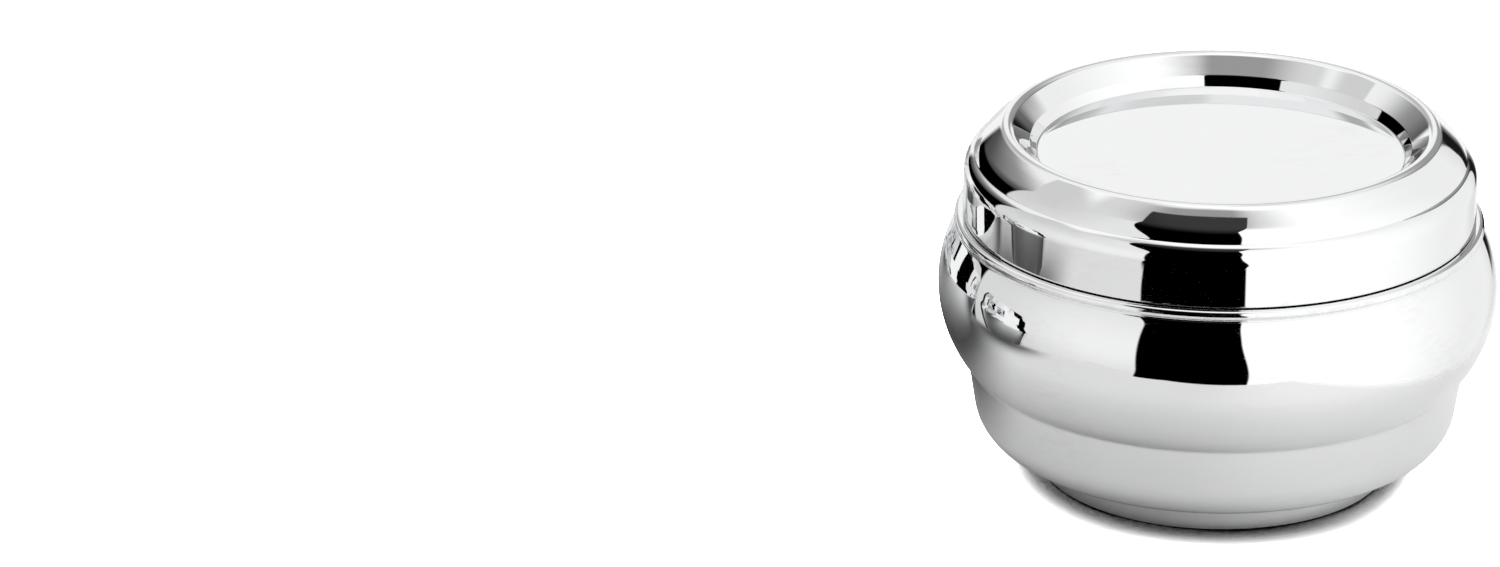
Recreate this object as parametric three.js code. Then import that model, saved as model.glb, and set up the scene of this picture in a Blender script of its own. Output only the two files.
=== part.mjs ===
import * as THREE from 'three';

// A round storage container of polished sheet steel: a drawn, bellied body and a lift-off lid.
// Millimetres, +Z up, the origin in the middle of the foot's underside.
// Radii, rises and widths are those of the outside surface, as it stands with the lid on.

// Sheet and clearances
const bodySheet = 0.6;
const lidSheet = 0.6;
const seatClearance = 0.3;
const neckClearance = 0.4;

// Raised base and foot
const footRadius = 48.4;
const footRise = 9;
const footEdgeBend = 1.4;
const footRootBend = 1.2;
const footRimWidth = 3.8;
const baseRise = 1.6;
const baseBend = 1;

// Round lower bowl: flat ring outside the foot, bend, and wall up to the step
const bowlRingWidth = 6.6;
const bowlBend = 11.2;
const bowlRise = 22.3;
const stepBend = 2.2;

// Belly: one round sweep from the step over the widest point to the shoulder
const bellyOverhang = 6.5;
const bellyBend = 33.8;
const bellyLowerRise = 22.3;
const bellyUpperRise = 16.9;
const shoulderBend = 0.8;

// Bead that carries the lid, groove under it, and neck inside the lid
const beadOverhang = 2.35;
const beadBend = 1.45;
const beadRise = 3.2;
const grooveDepth = 0.85;
const grooveBend = 0.25;
const neckRootBend = 0.35;
const neckRise = 10.7;

// Lid: skirt and rolled shoulder
const skirtRadius = 70;
const skirtRise = 11.4;
const rollBend = 6.3;
const creaseInset = 3;
const creaseBend = 0.5;

// Lid: steeper foot of the cone, cone, crest, wall of the recess in two slopes, and sunken disc
const browWidth = 1.25;
const browRise = 2.23;
const browBend = 15;
const coneWidth = 7.45;
const crestRise = 13.7;
const crestBend = 2.8;
const upperWallWidth = 6.45;
const upperWallDepth = 5.05;
const wallBreakBend = 0.9;
const lowerWallWidth = 1.85;
const lowerWallDepth = 2.85;
const discBend = 0.7;

// Fineness of the turned surfaces
const turnSteps = 48;
const wideArcStep = THREE.MathUtils.degToRad(12);
const smallArcStep = THREE.MathUtils.degToRad(20);
const foldStep = THREE.MathUtils.degToRad(32);

const quarterTurn = Math.PI / 2;

// Heights where the pieces meet
const stepHeight = footRise + bowlRise;
const bellyHeight = stepHeight + bellyLowerRise;
const shoulderHeight = bellyHeight + bellyUpperRise;
const ledgeHeight = shoulderHeight + beadRise;
const skirtEdgeHeight = ledgeHeight + seatClearance;

// Corner of an outline; a bend above zero rounds it off
function corner(radius, height, bend = 0) {
  return { at: new THREE.Vector2(radius, height), bend };
}

// Corners along an arc, both ends included
function arc(centre, radius, fromAngle, toAngle, step) {
  const count = Math.max(1, Math.ceil(Math.abs(toAngle - fromAngle) / step));
  const clockwise = toAngle < fromAngle;
  const curve = new THREE.EllipseCurve(centre.x, centre.y, radius, radius, fromAngle, toAngle, clockwise);
  return curve.getPoints(count).map((point) => corner(point.x, point.y));
}

// An arc with a corner at its widest or highest point as well as at its ends
function arcThrough(centre, radius, fromAngle, peakAngle, toAngle, step) {
  const risingPart = arc(centre, radius, fromAngle, peakAngle, step);
  const fallingPart = arc(centre, radius, peakAngle, toAngle, step);
  return [...risingPart, ...fallingPart.slice(1)];
}

// Angle at which a line from a point touches a circle, a turn ahead (1) or behind (-1) of the point
function touchAngle(centre, radius, point, side) {
  const ray = point.clone().sub(centre);
  return Math.atan2(ray.y, ray.x) + side * Math.acos(radius / ray.length());
}

// Replaces each corner that has a bend by a round stretch that touches both of its sides
function roundOff(corners) {
  const origin = new THREE.Vector2();
  return corners.flatMap(({ at, bend }, index) => {
    if (bend === 0) {
      return [at];
    }
    const back = corners[index - 1].at.clone().sub(at).normalize();
    const ahead = corners[index + 1].at.clone().sub(at).normalize();
    const halfOpening = Math.acos(back.dot(ahead)) / 2;
    const middle = back.clone().add(ahead).normalize();
    const centre = at.clone().addScaledVector(middle, bend / Math.sin(halfOpening));
    const start = at.clone().addScaledVector(back, bend / Math.tan(halfOpening)).sub(centre);
    const turn = (2 * halfOpening - Math.PI) * Math.sign(start.cross(middle));
    const count = Math.max(1, Math.ceil(Math.abs(turn) / foldStep));
    return Array.from({ length: count + 1 }, (_, step) =>
      start.clone().rotateAround(origin, (turn * step) / count).add(centre));
  });
}

// The other face of the sheet: every point moved square to the outline by the sheet's thickness,
// to the left for a positive thickness and to the right for a negative one
function otherFace(points, thickness) {
  return points.map((point, index) => {
    const before = points[index - 1] ?? point;
    const after = points[index + 1] ?? point;
    const into = point.clone().sub(before).normalize();
    const out = after.clone().sub(point).normalize();
    const along = into.clone().add(out).normalize();
    const square = new THREE.Vector2(-along.y, along.x);
    const longestRun = Math.max(along.dot(into), along.dot(out));
    return point.clone().addScaledVector(square, thickness / longestRun);
  });
}

// A turned shell of sheet, whose outline runs from the axis outwards
function turnedShell(corners, thickness) {
  const face = roundOff(corners);
  const outline = [...face, ...otherFace(face, thickness).reverse()];
  if (thickness < 0) {
    outline.reverse();
  }
  const geometry = new THREE.LatheGeometry(outline, turnSteps);
  geometry.rotateX(quarterTurn);
  return geometry;
}

function piece(name, geometry, finish) {
  const mesh = new THREE.Mesh(geometry, new THREE.MeshStandardMaterial(finish));
  mesh.name = name;
  return mesh;
}

// Body: raised base, foot, bowl, step, belly, bead under the lid, and the neck that the lid covers
function bodyGeometry() {
  const rimRadius = footRadius - footRimWidth;
  const bellyRadius = skirtRadius + bellyOverhang;
  const neckRadius = skirtRadius - lidSheet - neckClearance;
  const bowlCentre = new THREE.Vector2(footRadius + bowlRingWidth, footRise + bowlBend);
  const bellyCentre = new THREE.Vector2(bellyRadius - bellyBend, bellyHeight);
  const beadCentre = new THREE.Vector2(skirtRadius + beadOverhang - beadBend, ledgeHeight - beadBend);
  const stepAngle = -Math.asin(bellyLowerRise / bellyBend);
  const shoulderAngle = Math.asin(bellyUpperRise / bellyBend);
  const grooveAngle = -Math.acos(1 - grooveDepth / beadBend);

  const belly = arcThrough(bellyCentre, bellyBend, stepAngle, 0, shoulderAngle, wideArcStep);
  const wallAngle = touchAngle(bowlCentre, bowlBend, belly[0].at, -1);
  const bowl = arc(bowlCentre, bowlBend, -quarterTurn, wallAngle, wideArcStep);
  const bead = arcThrough(beadCentre, beadBend, grooveAngle, 0, quarterTurn, foldStep);
  belly[0].bend = stepBend;
  belly.at(-1).bend = shoulderBend;
  bead[0].bend = grooveBend;
  return turnedShell([
    corner(0, baseRise),
    corner(rimRadius - baseRise, baseRise, baseBend),
    corner(rimRadius, 0, baseBend),
    corner(footRadius, 0, footEdgeBend),
    corner(footRadius, footRise, footRootBend),
    ...bowl,
    ...belly,
    ...bead,
    corner(neckRadius, ledgeHeight, neckRootBend),
    corner(neckRadius, ledgeHeight + neckRise),
  ], bodySheet);
}

// Lid: sunken flat disc, wall in two slopes, crest, cone with a steeper foot, rolled shoulder and skirt
function lidGeometry() {
  const rollCentre = new THREE.Vector2(skirtRadius - rollBend, skirtEdgeHeight + skirtRise);
  const creaseAngle = Math.acos((rollBend - creaseInset) / rollBend);
  const roll = arc(rollCentre, rollBend, creaseAngle, 0, smallArcStep);
  const browCorner = new THREE.Vector2(roll[0].at.x - browWidth, roll[0].at.y + browRise);
  const crestRadius = browCorner.x - coneWidth;
  const crestHeight = rollCentre.y + crestRise;
  const wallBreak = new THREE.Vector2(crestRadius - upperWallWidth, crestHeight - upperWallDepth);
  const discRadius = wallBreak.x - lowerWallWidth;
  const discHeight = wallBreak.y - lowerWallDepth;
  const crestCentre = new THREE.Vector2(crestRadius, crestHeight - crestBend);
  const innerAngle = touchAngle(crestCentre, crestBend, wallBreak, -1) + 2 * Math.PI;
  const outerAngle = touchAngle(crestCentre, crestBend, browCorner, 1);

  const crest = arcThrough(crestCentre, crestBend, innerAngle, quarterTurn, outerAngle, smallArcStep);
  roll[0].bend = creaseBend;
  return turnedShell([
    corner(0, discHeight),
    corner(discRadius, discHeight, discBend),
    corner(wallBreak.x, wallBreak.y, wallBreakBend),
    ...crest,
    corner(browCorner.x, browCorner.y, browBend),
    ...roll,
    corner(skirtRadius, skirtEdgeHeight),
  ], -lidSheet);
}

const container = new THREE.Group();
container.add(piece('container_body', bodyGeometry(), { color: 0xe2e3e4, roughness: 0.05, metalness: 1 }));
container.add(piece('lid', lidGeometry(), { color: 0xe2e3e4, roughness: 0.05, metalness: 1 }));

export default container;
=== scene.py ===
import math

import bpy
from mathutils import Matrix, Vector


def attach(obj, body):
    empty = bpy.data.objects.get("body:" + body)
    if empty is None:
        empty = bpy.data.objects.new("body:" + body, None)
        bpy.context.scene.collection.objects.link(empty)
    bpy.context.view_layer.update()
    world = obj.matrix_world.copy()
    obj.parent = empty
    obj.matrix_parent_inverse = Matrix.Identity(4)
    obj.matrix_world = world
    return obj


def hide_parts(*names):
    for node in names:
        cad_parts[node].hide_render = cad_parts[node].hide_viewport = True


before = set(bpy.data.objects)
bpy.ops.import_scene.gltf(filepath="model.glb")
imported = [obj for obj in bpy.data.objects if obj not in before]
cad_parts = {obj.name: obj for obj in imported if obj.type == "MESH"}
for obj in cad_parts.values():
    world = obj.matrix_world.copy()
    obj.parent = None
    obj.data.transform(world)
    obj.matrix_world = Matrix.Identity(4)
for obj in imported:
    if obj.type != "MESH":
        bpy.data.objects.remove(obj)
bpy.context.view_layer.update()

# Looks of a round storage container of polished sheet steel: a drawn, bellied body and a lift-off lid.
# Sizes are in millimetres, the same as the solid model's, and are those of the outside surface.

MM = 0.001
RIGHT_ANGLE = math.pi / 2

# Sheet and clearances
SHEET = 0.6
SEAT_CLEARANCE = 0.3
NECK_CLEARANCE = 0.4

# Raised base and foot
BASE_RISE = 1.6
BASE_BEND = 1.0
FOOT_RADIUS = 48.4
FOOT_RISE = 9.0
FOOT_RIM_WIDTH = 3.8
FOOT_EDGE_BEND = 1.4
FOOT_ROOT_BEND = 1.2

# Lower bowl and step
BOWL_RING_WIDTH = 6.6
BOWL_BEND = 11.2
BOWL_RISE = 22.3
STEP_BEND = 2.2

# Belly, from the step over the widest point to the shoulder
BELLY_OVERHANG = 6.5
BELLY_BEND = 33.8
BELLY_LOWER_RISE = 22.3
BELLY_UPPER_RISE = 16.9
SHOULDER_BEND = 0.8

# Bead that carries the lid, groove under it, and neck inside the lid
BEAD_OVERHANG = 2.35
BEAD_BEND = 1.45
BEAD_RISE = 3.2
GROOVE_DEPTH = 0.85
GROOVE_BEND = 0.25
NECK_ROOT_BEND = 0.35
NECK_RISE = 10.7

# Skirt and rolled shoulder of the lid
SKIRT_RADIUS = 70.0
SKIRT_RISE = 11.4
ROLL_BEND = 6.3
CREASE_INSET = 3.0
CREASE_BEND = 0.5

# Slightly bowed cone with a steeper foot, and crest
BROW_WIDTH = 1.25
BROW_BEND = 15.0
CONE_WIDTH = 7.45
CONE_BOW = 120.0
CONE_FOOT_ANGLE = math.radians(44.1)
CREST_RISE = 13.7
CREST_BEND = 2.8
CREST_OUTER_ANGLE = math.radians(47.8)

# Wall of the recess in two slopes, and sunken disc
UPPER_WALL_WIDTH = 6.45
UPPER_WALL_DEPTH = 5.05
WALL_BREAK_BEND = 0.9
LOWER_WALL_WIDTH = 1.85
LOWER_WALL_DEPTH = 2.85
DISC_BEND = 0.7

# Heights and radii where the forms meet
BELLY_HEIGHT = FOOT_RISE + BOWL_RISE + BELLY_LOWER_RISE
LEDGE_HEIGHT = BELLY_HEIGHT + BELLY_UPPER_RISE + BEAD_RISE
BEAD_RADIUS = SKIRT_RADIUS + BEAD_OVERHANG
NECK_RADIUS = SKIRT_RADIUS - SHEET - NECK_CLEARANCE
NECK_TOP = LEDGE_HEIGHT + NECK_RISE
SKIRT_EDGE = LEDGE_HEIGHT + SEAT_CLEARANCE
ROLL_HEIGHT = SKIRT_EDGE + SKIRT_RISE
CREST_TOP = ROLL_HEIGHT + CREST_RISE

# Fineness of the turned surfaces: steps round the axis, lengths along straight runs, degrees along bends
TURN_STEPS = 192
LONGEST_RUN_STEP = 6.0
RUN_END_HOLD = 0.12
SMALL_BEND = 5.0
SMALL_BEND_STEP = 6
WIDE_BEND_STEP = 2
CLOSEST_POINTS = 0.004
WELD_GAP = 0.002
EDGE_BEVEL = 0.1
EDGE_BEVEL_SEGMENTS = 2
CUT_CORNER_ANGLE = math.radians(60)
SHARPEST_SMOOTH_ANGLE = math.radians(50)


# Outlines: straight runs and bows, joined by round bends

class Run:
    """A straight stretch of an outline."""

    def __init__(self, start, end):
        self.start = Vector(start)
        self.end = Vector(end)
        self.way = (self.end - self.start).normalized()

    def heading(self, at_end):
        """The way it runs, here the same at both ends."""
        return self.way

    def shifted(self, left):
        """The endless line at a distance to its left."""
        return "line", self.start + Vector((-self.way.y, self.way.x)) * left, self.way

    def nearest(self, point):
        return self.start + self.way * self.way.dot(point - self.start)

    def cut(self, start=None, end=None):
        return Run(start or self.start, end or self.end)

    def points(self):
        """The ends, points just inside them, so that the run shades as straight, and some between."""
        length = (self.end - self.start).length
        hold = min(RUN_END_HOLD, length / 6)
        inner = length - 2 * hold
        count = max(1, math.ceil(inner / LONGEST_RUN_STEP))
        along = [0, *(hold + inner * i / count for i in range(count + 1)), length]
        return [self.start + self.way * a for a in along]


class Bow:
    """A stretch of a circle between two angles."""

    def __init__(self, centre, radius, start_angle, end_angle):
        self.centre = Vector(centre)
        self.radius = radius
        self.start_angle = start_angle
        self.end_angle = end_angle
        self.start = self.at(start_angle)
        self.end = self.at(end_angle)
        self.way_round = 1 if end_angle > start_angle else -1

    def at(self, angle):
        return self.centre + Vector((math.cos(angle), math.sin(angle))) * self.radius

    def heading(self, at_end):
        angle = self.end_angle if at_end else self.start_angle
        return Vector((-math.sin(angle), math.cos(angle))) * self.way_round

    def shifted(self, left):
        """The whole circle at a distance to its left."""
        return "circle", self.centre, self.radius - left * self.way_round

    def nearest(self, point):
        return self.centre + (point - self.centre).normalized() * self.radius

    def angle_of(self, point):
        """The angle of a point on the circle, on the same turn as the bow's own angles."""
        ray = point - self.centre
        angle = math.atan2(ray.y, ray.x)
        middle = (self.start_angle + self.end_angle) / 2
        return angle + round((middle - angle) / math.tau) * math.tau

    def cut(self, start=None, end=None):
        return Bow(self.centre, self.radius,
                   self.angle_of(start) if start else self.start_angle,
                   self.angle_of(end) if end else self.end_angle)

    def points(self):
        turn = self.end_angle - self.start_angle
        step = SMALL_BEND_STEP if self.radius < SMALL_BEND else WIDE_BEND_STEP
        count = max(2, math.ceil(abs(math.degrees(turn)) / step))
        return [self.at(self.start_angle + turn * i / count) for i in range(count + 1)]


def crossings(first, second):
    """Where two shifted stretches cross, each a line or a circle."""
    if first[0] == "circle" and second[0] == "line":
        return crossings(second, first)
    if second[0] == "line":
        _, start, way = first
        _, other_start, other_way = second
        return [start + way * ((other_start - start).cross(other_way) / way.cross(other_way))]
    _, centre, radius = second
    if first[0] == "line":
        _, start, way = first
        along = way.dot(start - centre)
        root = math.sqrt(max(0.0, along ** 2 - (start - centre).length_squared + radius ** 2))
        return [start + way * (root - along), start - way * (root + along)]
    _, other_centre, other_radius = first
    apart = centre - other_centre
    along = (apart.length_squared + other_radius ** 2 - radius ** 2) / (2 * apart.length)
    across = math.sqrt(max(0.0, other_radius ** 2 - along ** 2))
    way = apart.normalized()
    side = Vector((-way.y, way.x)) * across
    return [other_centre + way * along + side, other_centre + way * along - side]


def join(stretches):
    """Rounds the end of each stretch off by the bend given with it; a bend of 0 leaves it as it is."""
    joined = [stretches[0][0]]
    for (_, bend), (stretch, _) in zip(stretches, stretches[1:]):
        last = joined[-1]
        if bend:
            left = bend if last.heading(True).cross(stretch.heading(False)) > 0 else -bend
            centre = min(crossings(last.shifted(left), stretch.shifted(left)),
                         key=lambda c: (c - last.end).length)
            leave = last.nearest(centre)
            arrive = stretch.nearest(centre)
            start_ray = leave - centre
            end_ray = arrive - centre
            start_angle = math.atan2(start_ray.y, start_ray.x)
            turn = math.atan2(start_ray.cross(end_ray), start_ray.dot(end_ray))
            joined[-1] = last.cut(end=leave)
            joined.append(Bow(centre, bend, start_angle, start_angle + turn))
            stretch = stretch.cut(start=arrive)
        joined.append(stretch)
    return joined


def runs(*corners):
    """Straight runs through corners, each given as radius, height and bend."""
    return [(Run(start[:2], end[:2]), end[2]) for start, end in zip(corners, corners[1:])]


def follow(bow, radius, end_angle):
    """A bow of another radius that carries on from the end of the last one without a kink."""
    outwards = (bow.end - bow.centre).normalized()
    return Bow(bow.end - outwards * radius, radius, bow.end_angle, end_angle)


def touching_angle(centre, radius, point, side):
    """The angle on a circle at which a straight run from a point touches it."""
    ray = point - centre
    return math.atan2(ray.y, ray.x) + side * math.acos(radius / ray.length)


def outline_points(stretches):
    """The outline's points, without those that would lie too close to the last one."""
    points = []
    for stretch in stretches:
        for point in stretch.points():
            if not points or (point - points[-1]).length > CLOSEST_POINTS:
                points.append(point)
    return points


def body_outline():
    """Raised base, foot, bowl, step, belly, bead and neck, from the axis outwards."""
    rim_radius = FOOT_RADIUS - FOOT_RIM_WIDTH
    belly_centre = Vector((SKIRT_RADIUS + BELLY_OVERHANG - BELLY_BEND, BELLY_HEIGHT))
    step_angle = -math.asin(BELLY_LOWER_RISE / BELLY_BEND)
    shoulder_angle = math.asin(BELLY_UPPER_RISE / BELLY_BEND)
    belly = Bow(belly_centre, BELLY_BEND, step_angle, shoulder_angle)
    bowl_centre = Vector((FOOT_RADIUS + BOWL_RING_WIDTH, FOOT_RISE + BOWL_BEND))
    bowl = Bow(bowl_centre, BOWL_BEND, -RIGHT_ANGLE,
               touching_angle(bowl_centre, BOWL_BEND, belly.start, -1))
    bead_centre = Vector((BEAD_RADIUS - BEAD_BEND, LEDGE_HEIGHT - BEAD_BEND))
    bead = Bow(bead_centre, BEAD_BEND, -math.acos(1 - GROOVE_DEPTH / BEAD_BEND), RIGHT_ANGLE)
    return join([
        *runs((0, BASE_RISE, 0),
              (rim_radius - BASE_RISE, BASE_RISE, BASE_BEND),
              (rim_radius, 0, BASE_BEND),
              (FOOT_RADIUS, 0, FOOT_EDGE_BEND),
              (FOOT_RADIUS, FOOT_RISE, FOOT_ROOT_BEND),
              (bowl_centre.x, FOOT_RISE, 0)),
        (bowl, 0),
        (Run(bowl.end, belly.start), STEP_BEND),
        (belly, SHOULDER_BEND),
        (Run(belly.end, bead.start), GROOVE_BEND),
        (bead, 0),
        *runs((*bead.end, 0),
              (NECK_RADIUS, LEDGE_HEIGHT, NECK_ROOT_BEND),
              (NECK_RADIUS, NECK_TOP, 0)),
    ])


def lid_outline():
    """Sunken disc, wall in two slopes, crest, cone, its steeper foot, rolled shoulder and skirt."""
    roll_centre = Vector((SKIRT_RADIUS - ROLL_BEND, ROLL_HEIGHT))
    roll = Bow(roll_centre, ROLL_BEND, math.acos((ROLL_BEND - CREASE_INSET) / ROLL_BEND), 0)
    crest_radius = roll.start.x - BROW_WIDTH - CONE_WIDTH
    wall_break = Vector((crest_radius - UPPER_WALL_WIDTH, CREST_TOP - UPPER_WALL_DEPTH))
    disc_radius = wall_break.x - LOWER_WALL_WIDTH
    disc_height = wall_break.y - LOWER_WALL_DEPTH
    crest_centre = Vector((crest_radius, CREST_TOP - CREST_BEND))
    crest_inner_angle = touching_angle(crest_centre, CREST_BEND, wall_break, -1) + math.tau
    crest = Bow(crest_centre, CREST_BEND, crest_inner_angle, CREST_OUTER_ANGLE)
    cone = follow(crest, CONE_BOW, CONE_FOOT_ANGLE)
    return join([
        *runs((0, disc_height, 0),
              (disc_radius, disc_height, DISC_BEND),
              (*wall_break, WALL_BREAK_BEND),
              (*crest.start, 0)),
        (crest, 0),
        (cone, BROW_BEND),
        (Run(cone.end, roll.start), CREASE_BEND),
        (roll, 0),
        (Run(roll.end, (SKIRT_RADIUS, SKIRT_EDGE)), 0),
    ])


# Modelling

def turned_shell(name, points):
    """Draws the outline by extruding one point along it, and spins it round the vertical axis."""
    bpy.ops.object.select_all(action="DESELECT")
    first = points[0]
    bpy.ops.mesh.primitive_circle_add(vertices=3, radius=MM, location=(first.x * MM, 0, first.y * MM))
    shell = bpy.context.object
    shell.name = shell.data.name = name
    bpy.ops.object.mode_set(mode="EDIT")
    bpy.ops.mesh.select_mode(type="VERT")
    bpy.ops.mesh.merge(type="CENTER")
    for before, after in zip(points, points[1:]):
        step = (after - before) * MM
        bpy.ops.mesh.extrude_vertices_move(TRANSFORM_OT_translate={"value": (step.x, 0, step.y)})
    bpy.ops.mesh.select_all(action="SELECT")
    bpy.ops.mesh.spin(steps=TURN_STEPS, angle=math.tau, center=(0, 0, 0), axis=(0, 0, 1))
    bpy.ops.mesh.select_all(action="SELECT")
    bpy.ops.mesh.remove_doubles(threshold=WELD_GAP * MM)
    bpy.ops.mesh.normals_make_consistent(inside=False)
    bpy.ops.object.mode_set(mode="OBJECT")
    bpy.ops.object.transform_apply(location=True, rotation=True, scale=True)
    return shell


def face_outwards(shell, upwards_at_axis):
    """Turns the open shell's faces over if the one at the axis looks the wrong way."""
    middle = min(shell.data.polygons, key=lambda f: f.center.x ** 2 + f.center.y ** 2)
    if (middle.normal.z > 0) != upwards_at_axis:
        bpy.ops.object.mode_set(mode="EDIT")
        bpy.ops.mesh.select_all(action="SELECT")
        bpy.ops.mesh.flip_normals()
        bpy.ops.object.mode_set(mode="OBJECT")


def give_thickness(shell):
    """
    Thickens the shell inwards, breaks the cut edge's corners and shades it.
    The inner face takes the second of its finishes, and the cut edge the third.
    """
    bpy.ops.object.modifier_add(type="SOLIDIFY")
    wall = shell.modifiers[-1]
    wall.thickness = SHEET * MM
    wall.offset = -1
    wall.use_even_offset = True
    wall.material_offset = 1
    wall.material_offset_rim = 2
    bpy.ops.object.modifier_apply(modifier=wall.name)
    bpy.ops.object.modifier_add(type="BEVEL")
    edge = shell.modifiers[-1]
    edge.width = EDGE_BEVEL * MM
    edge.segments = EDGE_BEVEL_SEGMENTS
    edge.limit_method = "ANGLE"
    edge.angle_limit = CUT_CORNER_ANGLE
    bpy.ops.object.modifier_apply(modifier=edge.name)
    bpy.ops.object.shade_smooth_by_angle(angle=SHARPEST_SMOOTH_ANGLE)


# Arithmetic in node trees

def put(socket, value):
    """Links a value to an input, or sets the input to a plain number."""
    if isinstance(value, Value):
        value.tree.links.new(value.socket, socket)
    else:
        socket.default_value = value


class Value:
    """A number in a node tree that varies from place to place, with the usual signs of arithmetic."""

    def __init__(self, socket):
        self.socket = socket
        self.tree = socket.id_data

    def math(self, operation, *others):
        node = self.tree.nodes.new("ShaderNodeMath")
        node.operation = operation
        for socket, value in zip(node.inputs, (self, *others)):
            put(socket, value)
        return Value(node.outputs[0])

    def __add__(self, other):
        return self.math("ADD", other)

    def __sub__(self, other):
        return self.math("SUBTRACT", other)

    def __mul__(self, other):
        return self.math("MULTIPLY", other)

    def at_least(self, other):
        return self.math("MAXIMUM", other)

    def at_most(self, other):
        return self.math("MINIMUM", other)

    def rise(self, low, high, start=0.0, end=1.0):
        """A smooth change from start to end while this value goes from low to high."""
        node = self.tree.nodes.new("ShaderNodeMapRange")
        node.interpolation_type = "SMOOTHSTEP"
        for name, value in (("Value", self), ("From Min", low), ("From Max", high),
                            ("To Min", start), ("To Max", end)):
            put(node.inputs[name], value)
        return Value(node.outputs["Result"])

    def past(self, edge, soft):
        """0 before the edge and 1 past it."""
        return self.rise(edge - soft, edge + soft)

    def before(self, edge, soft):
        """1 before the edge and 0 past it."""
        return self.rise(edge + soft, edge - soft)

    def within(self, low, high, soft):
        """1 between low and high, 0 outside."""
        return self.past(low, soft) * self.before(high, soft)

    def between(self, first, second):
        """The first value where this share is 0, the second where it is 1."""
        node = self.tree.nodes.new("ShaderNodeMix")
        put(node.inputs["Factor"], self)
        put(node.inputs["A"], first)
        put(node.inputs["B"], second)
        return Value(node.outputs["Result"])


def coordinates(tree, kind):
    """x, y and z of one kind of texture coordinates."""
    source = tree.nodes.new("ShaderNodeTexCoord")
    split = tree.nodes.new("ShaderNodeSeparateXYZ")
    tree.links.new(source.outputs[kind], split.inputs[0])
    return [Value(output) for output in split.outputs]


def distance(x, y):
    """How far off a place is, level with the floor."""
    return (x * x + y * y).math("SQRT")


def place(tree):
    """The place on the object in millimetres: x, y, z, and the distance from the vertical axis."""
    x, y, z = (value * (1 / MM) for value in coordinates(tree, "Object"))
    return x, y, z, distance(x, y)


def vector(x, y, z):
    node = x.tree.nodes.new("ShaderNodeCombineXYZ")
    for socket, value in zip(node.inputs, (x, y, z)):
        put(socket, value)
    return Value(node.outputs[0])


def noise(at, scale, detail):
    node = at.tree.nodes.new("ShaderNodeTexNoise")
    put(node.inputs["Vector"], at)
    put(node.inputs["Scale"], scale)
    put(node.inputs["Detail"], detail)
    return Value(node.outputs["Fac"])


# Wear and polish that all finishes share.
# Dullness is what an effect adds to the roughness, and depths and heights are in millimetres.

def effect(name, inputs, outputs):
    """A shader node group of plain values; returns its tree, its inputs and the sockets of its outputs."""
    tree = bpy.data.node_groups.new(name, "ShaderNodeTree")
    for names, way in ((inputs, "INPUT"), (outputs, "OUTPUT")):
        for socket_name in names:
            tree.interface.new_socket(name=socket_name, in_out=way, socket_type="NodeSocketFloat")
    given = tree.nodes.new("NodeGroupInput").outputs
    out = tree.nodes.new("NodeGroupOutput").inputs
    return tree, [Value(given[socket_name]) for socket_name in inputs], out


def turned_lines():
    """Fine rings that polishing leaves round the axis, finer and coarser ones."""
    tree, (depth, dullness), out = effect("turned_lines", ("Depth", "Dullness"),
                                          ("Height", "Tone", "Roughness"))
    x, _, z, radius = place(tree)
    way_round = x.math("DIVIDE", radius.at_least(0.5))

    def rings(per_mm, detail):
        return noise(vector(radius * per_mm, z * per_mm, way_round), scale=1.0, detail=detail)

    fine = rings(per_mm=3.0, detail=3.0)
    coarse = rings(per_mm=0.35, detail=1.0)
    tone = (fine + coarse) * 0.5
    put(out["Height"], fine * depth)
    put(out["Tone"], tone)
    put(out["Roughness"], (tone - 0.5) * dullness)
    return tree


def hand_marks():
    """Faint wiped smudges and softer dull patches left by handling."""
    tree, (dullness,), out = effect("hand_marks", ("Dullness",), ("Mask", "Roughness"))
    x, y, z, _ = place(tree)
    patches = noise(vector(x, y, z), scale=0.03, detail=4.0).rise(0.5, 0.72)
    wiped = noise(vector(x * 0.25, y * 0.6, z * 1.4), scale=0.5, detail=3.0).rise(0.35, 0.75)
    mask = patches * wiped
    put(out["Mask"], mask)
    put(out["Roughness"], mask * dullness)
    return tree


def hairlines():
    """Sparse hair-thin scratches in two slanting directions, and tiny pits."""
    tree, (depth, dullness), out = effect("hairlines", ("Depth", "Dullness"),
                                          ("Height", "Pits", "Roughness"))
    x, y, z, _ = place(tree)
    leaning = vector((x + z) * 3.2, (y + x) * 0.12, (z - x * 0.9) * 0.10)
    raking = vector((z + y * 0.6) * 3.6, x * 0.11, (y - z * 0.5) * 0.13)
    first = noise(leaning, scale=1.0, detail=1.0).rise(0.735, 0.765)
    second = noise(raking, scale=1.0, detail=1.0).rise(0.745, 0.775)
    scratches = first.at_least(second)
    spots = tree.nodes.new("ShaderNodeTexVoronoi")
    put(spots.inputs["Vector"], vector(x, y, z))
    put(spots.inputs["Scale"], 0.16)
    pits = Value(spots.outputs["Distance"]).rise(0.012, 0.022, 1.0, 0.0)
    put(out["Height"], scratches.at_least(pits) * depth * -1.0)
    put(out["Pits"], pits)
    put(out["Roughness"], scratches * dullness)
    return tree


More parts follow.
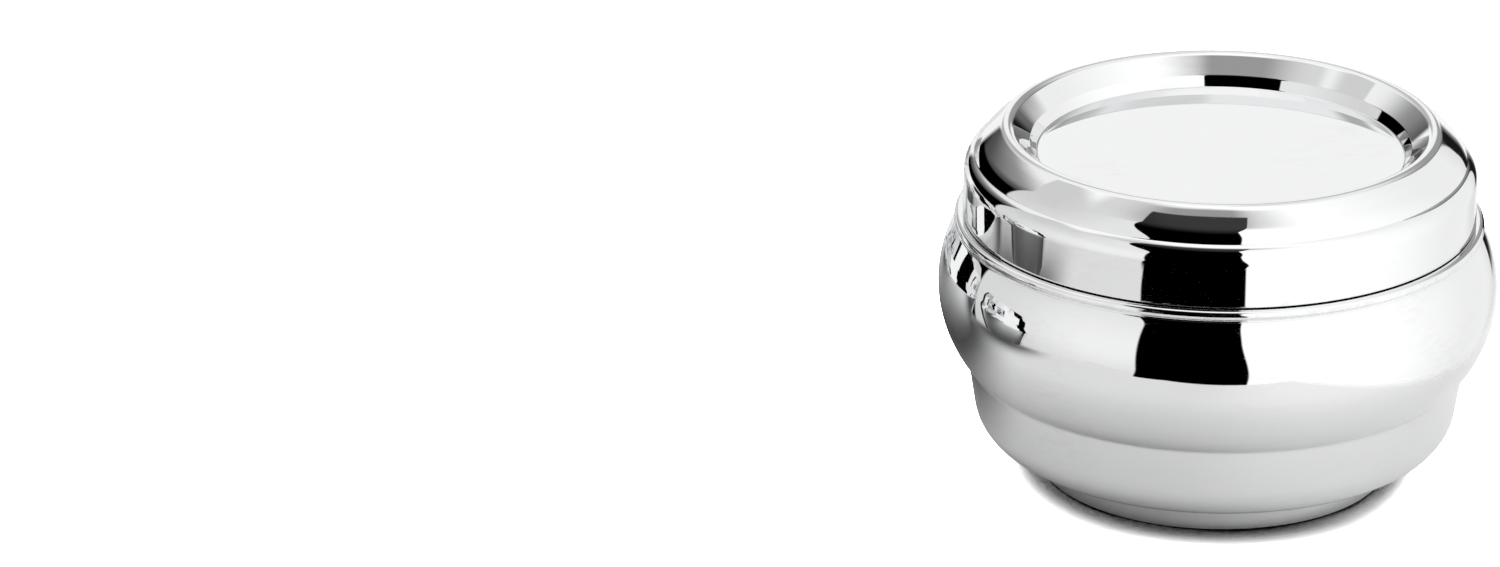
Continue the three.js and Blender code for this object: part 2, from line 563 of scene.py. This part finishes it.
def rubbed_edges():
    """Dulled, broken rings where the pieces rub: foot rim, bead, skirt's edge, crest and neck's top."""
    tree, (dullness,), out = effect("rubbed_edges", ("Dullness",), ("Mask", "Roughness"))
    x, y, z, radius = place(tree)
    foot_rim = z.rise(0.3, 1.6, 1.0, 0.0)
    bead = (z.within(LEDGE_HEIGHT - 2.3, LEDGE_HEIGHT - 0.5, 0.4)
            * radius.rise(BEAD_RADIUS - 0.45, BEAD_RADIUS - 0.05))
    skirt_edge = (z.within(SKIRT_EDGE - 0.1, SKIRT_EDGE + 0.35, 0.25)
                  * radius.rise(SKIRT_RADIUS - 0.8, SKIRT_RADIUS - 0.6))
    crest = z.rise(CREST_TOP - 0.15, CREST_TOP - 0.02)
    neck_top = (z.within(NECK_TOP - 0.6, NECK_TOP, 0.3)
                * radius.rise(NECK_RADIUS + 0.3, NECK_RADIUS + 0.15))
    rings = foot_rim.at_least(bead).at_least(skirt_edge).at_least(crest * 0.5).at_least(neck_top)
    broken = noise(vector(x, y, z), scale=0.35, detail=4.0).rise(0.42, 0.62)
    mask = rings * broken
    put(out["Mask"], mask)
    put(out["Roughness"], mask * dullness)
    return tree


EFFECTS = {tree.name: tree for tree in (turned_lines(), hand_marks(), hairlines(), rubbed_edges())}


# Finishes of the steel

# How far marks take the colour from that of bare metal to that of handled metal
SMUDGE_TINT = 0.5
RUBBED_TINT = 0.6
LINE_TINT = 0.25

SMOOTHEST = 0.01


def placed(tree, name, **given):
    """Places an effect in a material with its own values, and returns its outputs by name."""
    node = tree.nodes.new("ShaderNodeGroup")
    node.node_tree = EFFECTS[name]
    for socket_name, value in given.items():
        put(node.inputs[socket_name], value)
    return {output.name: Value(output) for output in node.outputs}


def steel(name, bare, handled, roughness, line_depth, scratch_depth, smudged, scratched, rubbed, lined):
    """
    Steel with the shared effects.
    bare, handled: colour of clean and of dulled metal.
    roughness: of clean metal.
    line_depth, scratch_depth: of the turned lines, and of scratches and pits, in millimetres.
    smudged, scratched, rubbed, lined: what these marks add to the roughness.
    """
    material = bpy.data.materials.new(name)
    material.use_nodes = True
    tree = material.node_tree
    shader = tree.nodes["Principled BSDF"]
    shader.inputs["Metallic"].default_value = 1
    lines = placed(tree, "turned_lines", Depth=line_depth, Dullness=lined)
    smudges = placed(tree, "hand_marks", Dullness=smudged)
    scratches = placed(tree, "hairlines", Depth=scratch_depth, Dullness=scratched)
    edges = placed(tree, "rubbed_edges", Dullness=rubbed)

    colour = tree.nodes.new("ShaderNodeMix")
    colour.data_type = "RGBA"
    bare_colour, handled_colour = (socket for socket in colour.inputs if socket.type == "RGBA")
    bare_colour.default_value = (*bare, 1)
    handled_colour.default_value = (*handled, 1)
    marked = smudges["Mask"] * SMUDGE_TINT + edges["Mask"] * RUBBED_TINT + lines["Tone"] * LINE_TINT
    put(colour.inputs["Factor"], (marked + scratches["Pits"]).at_most(1.0))
    mixed = next(socket for socket in colour.outputs if socket.type == "RGBA")
    tree.links.new(mixed, shader.inputs["Base Color"])

    dulled = smudges["Roughness"] + scratches["Roughness"] + edges["Roughness"] + lines["Roughness"]
    put(shader.inputs["Roughness"], (dulled + roughness).at_least(SMOOTHEST))

    bump = tree.nodes.new("ShaderNodeBump")
    bump.inputs["Strength"].default_value = 1
    bump.inputs["Distance"].default_value = MM
    put(bump.inputs["Height"], lines["Height"] + scratches["Height"])
    tree.links.new(bump.outputs["Normal"], shader.inputs["Normal"])
    return material


outside = steel("polished_steel", bare=(0.885, 0.89, 0.895), handled=(0.80, 0.80, 0.80), roughness=0.022,
                line_depth=0.0001, scratch_depth=0.00015,
                smudged=0.03, scratched=0.05, rubbed=0.12, lined=0.012)
inside = steel("brushed_steel", bare=(0.79, 0.795, 0.80), handled=(0.70, 0.70, 0.70), roughness=0.24,
               line_depth=0.004, scratch_depth=0.002,
               smudged=0.06, scratched=0.08, rubbed=0.10, lined=0.16)
cut_edge = steel("cut_steel", bare=(0.82, 0.825, 0.83), handled=(0.66, 0.66, 0.66), roughness=0.16,
                 line_depth=0.002, scratch_depth=0.003,
                 smudged=0.05, scratched=0.10, rubbed=0.16, lined=0.10)

for name, outline, body, upwards in (("container_shell", body_outline(), "container", False),
                                     ("lid_shell", lid_outline(), "lid", True)):
    shell = turned_shell(name, outline_points(outline))
    face_outwards(shell, upwards)
    for material in (outside, inside, cut_edge):
        shell.data.materials.append(material)
    give_thickness(shell)
    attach(shell, body)
    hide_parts("container_body" if body == "container" else "lid")
    "body_steel" if body == "container" else "lid_steel"


# Stage: the tent of cloths round the container.
# Each cloth gives its tone, 1 for white, and where it covers what is behind it. Angles are in degrees:
# around is 0 at the viewer's side and positive to the right, behind is the same on both sides, up is 0 level.

# Where the cloths end
WALL_SEAM = -12
RIGHT_WALL_END = 150
LEFT_WALL_END = -117.75
BACKDROP_EDGE = 171
LOW_BACKDROP_EDGE = 160
LOW_BACKDROP_TOP = 13
OVERHEAD_EDGE = 75
GAP_LEFT_EDGE = -35.5
GAP_RIGHT_EDGE = 8.8
GAP_TOP = 71.95
ARCH_MIDDLE = -5
ARCH_FALL = 0.0019

# How light they are
UPPER_CORNER_TONE = 1.08
BACKDROP_TONE = 1.0
BACKDROP_BAND_TONE = 0.5
OVERHEAD_TONE = 1.15
SHADE_TONE = 0.35
LOW_CORNER_TONE = 0.01


def walls(around, up):
    """Right and left wall, both dimmer towards their far ends, the left one with a bright upper corner."""
    right = around.rise(70, 125, 1.15, 0.96) * around.rise(138, 152, 1.0, 0.85)
    left = around.rise(-110, -55, 0.77, 0.985) * up.rise(-24, 2, 0.8, 1.0) * up.rise(8, 38, 1.0, 0.9)
    upper_corner = around.before(-93, 5) * up.rise(49, 56)
    left = upper_corner.between(left, UPPER_CORNER_TONE)
    return around.before(WALL_SEAM, 2).between(right, left)


def past_right_wall(around, up):
    """Degrees past the right wall's far end, which slants forwards above."""
    return around + up.rise(2, 38, 0.0, 27.0) - RIGHT_WALL_END


def right_grey_cloth(around, up):
    """Grey cloth past the right wall's end, darkest close to it and lighter upwards."""
    past_wall = past_right_wall(around, up)
    tone = (up.rise(0, 20, 0.19, 0.36) + up.rise(28, 52, 0.0, 0.6)) * past_wall.rise(0, 9, 0.5, 1.0)
    return tone, past_wall.past(0, 0.6) * up.before(52, 5) * up.past(-15, 3)


def left_dark_cloth(around, behind, up):
    """Dark cloth past the left wall's end, which turns grey and then white above a slanting line."""
    above_slant = up - 21.0 - (around + 122.0) * 0.5
    tone = above_slant.rise(-1, 2, 0.0, 0.08) + above_slant.rise(2, 12, 0.0, 0.24)
    tone = above_slant.rise(10, 17).between(tone, behind.rise(128, 165, 0.96, 0.5))
    tone = up.rise(30, 52).between(tone, BACKDROP_TONE)
    return tone, around.before(LEFT_WALL_END, 0.75)


def backdrop(behind, up):
    """White backdrop, wider below."""
    low_part = behind.past(LOW_BACKDROP_EDGE, 2) * up.before(LOW_BACKDROP_TOP, 3)
    return BACKDROP_TONE, behind.past(BACKDROP_EDGE, 3).at_least(low_part)


def backdrop_band(behind, up):
    """Grey band across the upper backdrop, which draws a line along the back of the crest."""
    return BACKDROP_BAND_TONE, behind.past(161, 7) * up.within(37, 47, 3)


def overhead(up):
    """Bright cloth overhead."""
    return OVERHEAD_TONE, up.past(OVERHEAD_EDGE, 5)


def over_arch(around, up):
    """How high up a direction is, measured as if the arch over the gap didn't fall away to both sides."""
    off_middle = around - ARCH_MIDDLE
    return up + off_middle * off_middle * ARCH_FALL


def shade(around, up):
    """Grey shade over the gap, which hangs lower at both ends."""
    ends = around.rise(-92, -46) * around.rise(8, 34, 1.0, 0.5) * around.rise(26, 62, 1.0, 0.0)
    height = over_arch(around, up)
    return SHADE_TONE, ends * height.rise(63, 70) * height.rise(76.5, 75.0)


def gap(around, up):
    """Black gap between the walls, whose sides lean out at the top, where it is a very dark grey."""
    left_lean = up.rise(-24, -10, 2.5, 0.0) + up.rise(28, 62, 0.0, 26.0)
    right_lean = up.rise(-24, -12, 0.0, -0.8) + up.rise(-12, 20, 0.0, 2.6) + up.rise(28, 50, 0.0, -2.4)
    top_lean = (up - 59.0).at_least(0.0) * -1.25
    past_left = (around + left_lean).past(GAP_LEFT_EDGE, 0.5)
    before_right = (around + right_lean + top_lean).before(GAP_RIGHT_EDGE, 0.4)
    cover = past_left * before_right * over_arch(around, up).before(GAP_TOP, 0.25)
    return up.rise(53, 68, 0.0, 0.045), cover


def low_corner(around, up):
    """Dark corner low behind, at the end of the right wall."""
    past_wall = past_right_wall(around, up).past(0, 0.6)
    return LOW_CORNER_TONE, past_wall * around.within(139, 157, 1.5) * up.within(-14, 7, 3)


def cloths(x, y, z):
    """How bright the tent is in a direction: the walls, and the other cloths laid over them in turn."""
    degrees = 180 / math.pi
    around = x.math("ARCTAN2", y * -1.0) * degrees
    up = z.math("ARCSINE") * degrees
    behind = around.math("ABSOLUTE")
    light = walls(around, up)
    for tone, cover in (right_grey_cloth(around, up),
                        left_dark_cloth(around, behind, up),
                        backdrop(behind, up),
                        backdrop_band(behind, up),
                        overhead(up),
                        shade(around, up),
                        gap(around, up),
                        low_corner(around, up)):
        light = cover.between(light, tone)
    return light


def studio_world():
    """The tent, which only the steel mirrors and which lights the floor; white to the viewer."""
    world = bpy.data.worlds.new("studio")
    bpy.context.scene.world = world
    world.use_nodes = True
    tree = world.node_tree
    seen = Value(tree.nodes.new("ShaderNodeLightPath").outputs["Is Camera Ray"])
    background = tree.nodes["Background"]
    background.inputs["Color"].default_value = (1, 1, 1, 1)
    put(background.inputs["Strength"], seen.between(cloths(*coordinates(tree, "Generated")), 1.0))


# Stage: polished round forms at the left, which show in the steel alone, in millimetres

DRUMS = (
    dict(name="near_drum", x=-145, y=83, foot=54, belly=69, belly_height=50,
         lid=65.5, lid_edge=58, lid_top=75, crest=56, crest_height=87),
    dict(name="far_drum", x=-270, y=-14, foot=48, belly=63, belly_height=40,
         lid=58, lid_edge=50, lid_top=64, crest=50, crest_height=76),
)
DRUM_RECESS_WIDTH = 6
DRUM_RECESS_DEPTH = 5


def drum(name, x, y, foot, belly, belly_height, lid, lid_edge, lid_top, crest, crest_height):
    """A closed turned form: foot, belly, skirt, crest and sunken top, by their radii and heights."""
    disc_height = crest_height - DRUM_RECESS_DEPTH
    outline = runs((0, 0, 0),
                   (foot, 0, 1),
                   (belly, belly_height, 8),
                   (lid, lid_edge, 1),
                   (lid, lid_top, 5),
                   (crest, crest_height, 2.5),
                   (crest - DRUM_RECESS_WIDTH, disc_height, 1),
                   (0, disc_height, 0))
    form = turned_shell(name, outline_points(join(outline)))
    bpy.ops.object.shade_smooth_by_angle(angle=SHARPEST_SMOOTH_ANGLE)
    form.data.materials.append(outside)
    form.location = (x * MM, y * MM, 0)
    form.visible_camera = False
    form.visible_diffuse = False
    form.visible_shadow = False


# Stage: the floor, in millimetres

FLOOR_SIZE = 8000
FLOOR_TONE = 0.84
CONTACT_SHADOW_REACH = 14
LEAST_OPENNESS = 0.24
DRUM_SHADOW_WIDTH = 70
DRUM_SHADOW_TONE = 0.12

# Where the steel sees the floor end
FLOOR_RIGHT_EDGE = 121
FLOOR_FRONT_EDGE = -231
FLOOR_LEFT_EDGE = -245
GAP_FOOT_LEFT = -52.5
GAP_FOOT_FRONT = -232


def mirrored_tone(x, y, from_axis):
    """The floor in the steel, with light and shade painted into its tone: brighter to the right and farther
    out, painted shade at the foot, under the bowl's overhang and round the drums, which cast no shadow of
    their own.
    """
    # Painted shade under the bowl, lighter towards the right.
    shade_under_bowl = x.rise(-30, 35, 0.78, 1.05)
    tone = (x.rise(-40, 60, 0.925, 1.095) * from_axis.rise(90, 150, 1.0, 1.12)
            * from_axis.rise(52, 76, shade_under_bowl, 1.0) * from_axis.rise(49, 56, 0.62, 1.0))
    # Painted shadow round each drum's foot.
    for sizes in DRUMS:
        from_drum = distance(x - sizes["x"], y - sizes["y"])
        tone = tone * from_drum.rise(sizes["foot"], sizes["foot"] + DRUM_SHADOW_WIDTH, DRUM_SHADOW_TONE, 1.0)
    return tone


def seen_tone(x, y):
    """The floor to the viewer: white, with a painted contact shadow where the container stands close, most of
    all in front, over the real light, which is lifted more on the left than on the right.
    """
    close = x.tree.nodes.new("ShaderNodeAmbientOcclusion")
    close.inputs["Distance"].default_value = CONTACT_SHADOW_REACH * MM
    # Painted contact shadow from ambient occlusion, stretched towards the front.
    openness = (Value(close.outputs["AO"]) - LEAST_OPENNESS) * y.rise(-55, -10, 1.0, 2.0)
    return openness.rise(0.0, 0.26) * openness.rise(0.22, 0.5, 2.4, 8.0) * x.rise(-45, 45, 1.3, 0.8)


def past_edge(x, y):
    """1 past the floor's right, front and left edge, and where its front edge meets the black gap."""
    right = (x - y * 0.11).past(FLOOR_RIGHT_EDGE, 9)
    front = y.before(FLOOR_FRONT_EDGE, 5)
    left = x.before(FLOOR_LEFT_EDGE, 25)
    slant = (x * -1.0 - 85).at_least(0.0) * 0.5
    at_gap = (x - y * 0.417).past(GAP_FOOT_LEFT, 2) * (y - slant).before(GAP_FOOT_FRONT, 3)
    return right.at_least(front).at_least(left).at_least(at_gap)


def floor_material():
    """Pale floor: white to the viewer apart from the contact shadow, which is partly painted; in the steel it
    ends where the cloths begin, and its tone there holds painted light and shade.
    """
    material = bpy.data.materials.new("floor_cloth")
    material.use_nodes = True
    tree = material.node_tree
    tree.nodes.remove(tree.nodes["Principled BSDF"])
    x, y, _, from_axis = place(tree)
    path = tree.nodes.new("ShaderNodeLightPath")
    seen = Value(path.outputs["Is Camera Ray"])
    mirrored = Value(path.outputs["Is Glossy Ray"])
    tone = mirrored.between(FLOOR_TONE, mirrored_tone(x, y, from_axis))
    cloth = tree.nodes.new("ShaderNodeBsdfDiffuse")
    put(cloth.inputs["Color"], seen.between(tone, seen_tone(x, y)))
    clear = tree.nodes.new("ShaderNodeBsdfTransparent")
    mix = tree.nodes.new("ShaderNodeMixShader")
    put(mix.inputs[0], past_edge(x, y) * mirrored)
    tree.links.new(cloth.outputs[0], mix.inputs[1])
    tree.links.new(clear.outputs[0], mix.inputs[2])
    tree.links.new(mix.outputs[0], tree.nodes["Material Output"].inputs["Surface"])
    return material


bpy.ops.object.select_all(action="DESELECT")
bpy.ops.mesh.primitive_plane_add(size=FLOOR_SIZE * MM, location=(0, 0, 0))
floor = bpy.context.object
floor.name = "floor"
floor.data.materials.append(floor_material())

for sizes in DRUMS:
    drum(**sizes)

studio_world()

# Camera, as fitted to the photograph: its width and the focal length in pixels, tilt, and place in metres
PHOTO_WIDTH = 1500
FOCAL_LENGTH = 7575
SENSOR_WIDTH = 36
LOOKING_DOWN = math.radians(22.13)
VIEWPOINT = (-0.1280, -1.9227, 0.8345)

camera_data = bpy.data.cameras.new("camera")
camera_data.sensor_width = SENSOR_WIDTH
camera_data.lens = FOCAL_LENGTH * SENSOR_WIDTH / PHOTO_WIDTH
camera = bpy.data.objects.new("camera", camera_data)
bpy.context.collection.objects.link(camera)
camera.location = VIEWPOINT
camera.rotation_euler = (RIGHT_ANGLE - LOOKING_DOWN, 0, 0)
bpy.context.scene.camera = camera
bpy.context.scene.view_settings.view_transform = "Standard"
